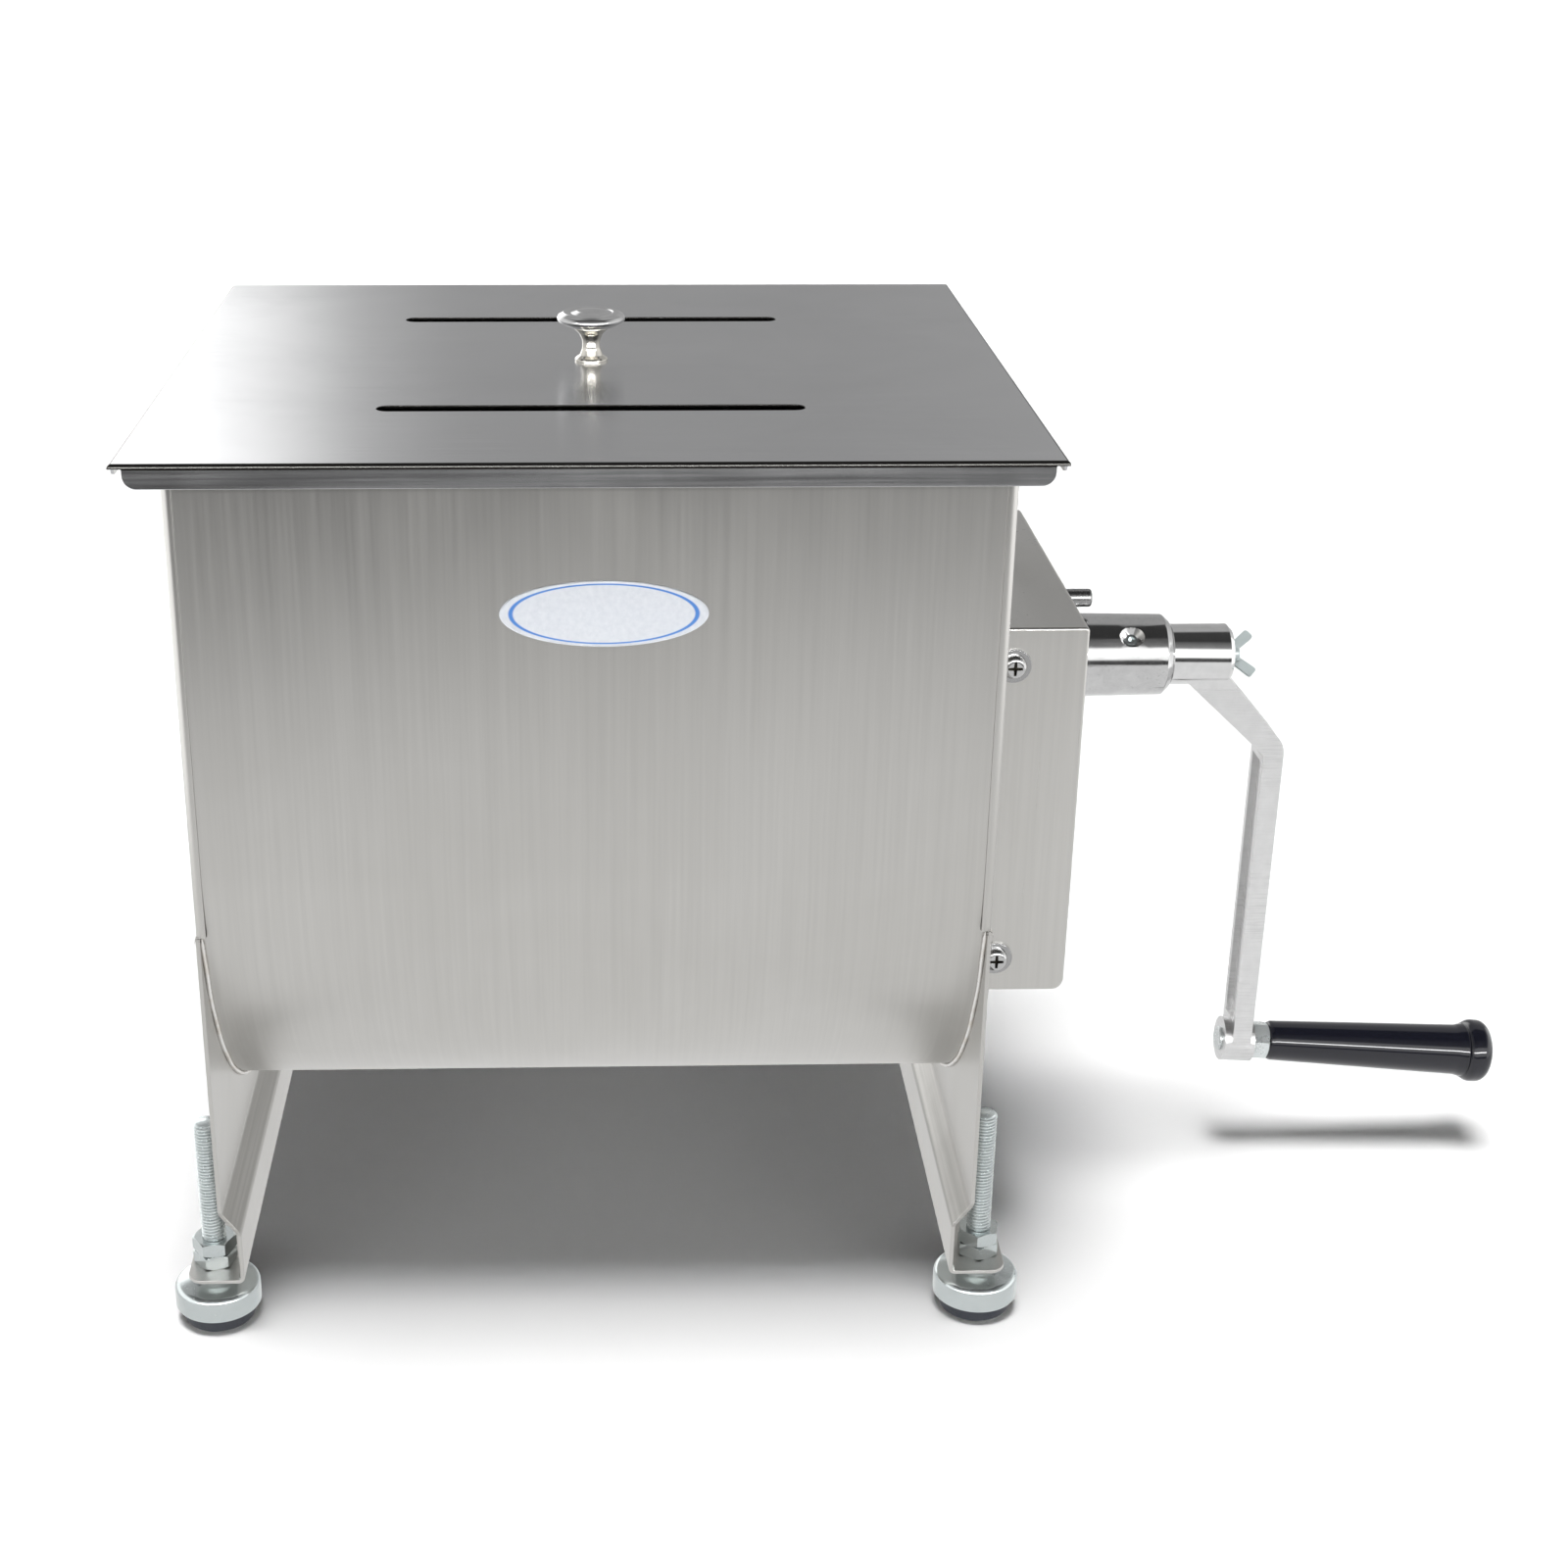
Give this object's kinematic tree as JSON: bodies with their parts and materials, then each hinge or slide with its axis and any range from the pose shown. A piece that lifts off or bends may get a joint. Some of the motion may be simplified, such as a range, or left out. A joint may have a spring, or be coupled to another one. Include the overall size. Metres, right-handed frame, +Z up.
{
  "type": "hand crank meat mixer",
  "caption": "Stainless U-bottom mixing tank on levelling feet, with a slotted lift-off lid, a side gearbox, geared paddles and a hanging hand crank.",
  "frame": {"origin": "on the floor plane, under the centre of the whole object's bounding box", "axes": "+X to the crank side, +Y to the rear, +Z up; the badge is on the front, -Y"},
  "size_m": [0.7205, 0.386, 0.4805],
  "materials": {
    "stainless": "vertical brushed stainless sheet",
    "stainless_lid": "fine brushed stainless sheet",
    "stainless_bright": "turned stainless",
    "polished": "polished nickel-chrome",
    "cast_plated": "satin plated casting with file marks",
    "zinc": "bright zinc plate",
    "gear_steel": "machined carbon steel, greased",
    "bronze": "sintered bronze",
    "rubber_black": "moulded rubber",
    "seal_rubber": "lip seal",
    "grip_black": "gloss black plastic",
    "badge": "pale enamelled plate with a blue line"
  },
  "bodies": {
    "frame": {"tank_shell": "stainless", "end_plate_right": "stainless", "end_plate_left": "stainless", "badge_plate": "badge", "gearbox_cover": "stainless", "cover_brackets": "stainless", "gearbox_screws": "polished", "gearbox_washers": "stainless_bright", "hub_collar": "polished", "collar_set_screw": "zinc", "collar_bushes": "bronze", "locating_pin": "polished", "bearing_housing_right": "stainless_bright", "bearing_housing_left": "stainless_bright", "bearing_screws": "stainless_bright", "shaft_bushes": "bronze", "shaft_seals": "seal_rubber", "foot_weld_nuts": "zinc", "foot_lock_nuts": "zinc"},
    "lid": {"lid_panel": "stainless_lid", "lid_knob": "polished", "knob_washer": "stainless_bright", "knob_screw": "stainless_bright"},
    "crank": {"drive_shaft": "gear_steel", "drive_pinion": "gear_steel", "pinion_pin": "gear_steel", "crank_key": "gear_steel", "crank_arm": "cast_plated", "grip_spindle": "zinc"},
    "grip": {"crank_grip": "grip_black"},
    "wing_screw": {"wing_screw": "zinc"},
    "paddle": {"paddle_shaft": "stainless_bright", "driven_gear": "gear_steel", "gear_key": "gear_steel", "gear_washer": "stainless_bright", "gear_screw": "stainless_bright", "paddle_set_screws": "stainless_bright", "mixing_paddle_1": "stainless_bright", "mixing_paddle_2": "stainless_bright", "mixing_paddle_3": "stainless_bright", "mixing_paddle_4": "stainless_bright"},
    "foot_fl": {"foot_stud_fl": "zinc", "foot_cup_fl": "zinc", "foot_pad_fl": "rubber_black"},
    "foot_fr": {"foot_stud_fr": "zinc", "foot_cup_fr": "zinc", "foot_pad_fr": "rubber_black"},
    "foot_rl": {"foot_stud_rl": "zinc", "foot_cup_rl": "zinc", "foot_pad_rl": "rubber_black"},
    "foot_rr": {"foot_stud_rr": "zinc", "foot_cup_rr": "zinc", "foot_pad_rr": "rubber_black"}
  },
  "joints": [
    {"name": "lid_lift", "type": "slide", "parent": "frame", "child": "lid", "axis": [0, 0, 1], "range_m": [0, 0.15]},
    {"name": "crank_spin", "type": "hinge", "parent": "frame", "child": "crank", "pos_m": [0.1566, 0, 0.2975], "axis": [1, 0, 0], "continuous": true},
    {"name": "grip_spin", "type": "hinge", "parent": "crank", "child": "grip", "pos_m": [0.2151, 0, 0.066], "axis": [0.9977, 0, -0.068], "continuous": true},
    {"name": "wing_screw_turn", "type": "hinge", "parent": "crank", "child": "wing_screw", "pos_m": [0.1895, 0, 0.2975], "axis": [1, 0, 0], "range_deg": [0, 1800]},
    {"name": "paddle_spin", "type": "hinge", "parent": "frame", "child": "paddle", "pos_m": [-0.1459, 0, 0.2535], "axis": [1, 0, 0], "continuous": true},
    {"name": "foot_height_fl", "type": "slide", "parent": "frame", "child": "foot_fl", "axis": [0, 0, -1], "range_m": [-0.002, 0.05]},
    {"name": "foot_height_fr", "type": "slide", "parent": "frame", "child": "foot_fr", "axis": [0, 0, -1], "range_m": [-0.002, 0.05]},
    {"name": "foot_height_rl", "type": "slide", "parent": "frame", "child": "foot_rl", "axis": [0, 0, -1], "range_m": [-0.002, 0.05]},
    {"name": "foot_height_rr", "type": "slide", "parent": "frame", "child": "foot_rr", "axis": [0, 0, -1], "range_m": [-0.002, 0.05]}
  ],
  "couplings": [
    {"joint": "paddle_spin", "follows": "crank_spin", "ratio": -0.46667}
  ]
}
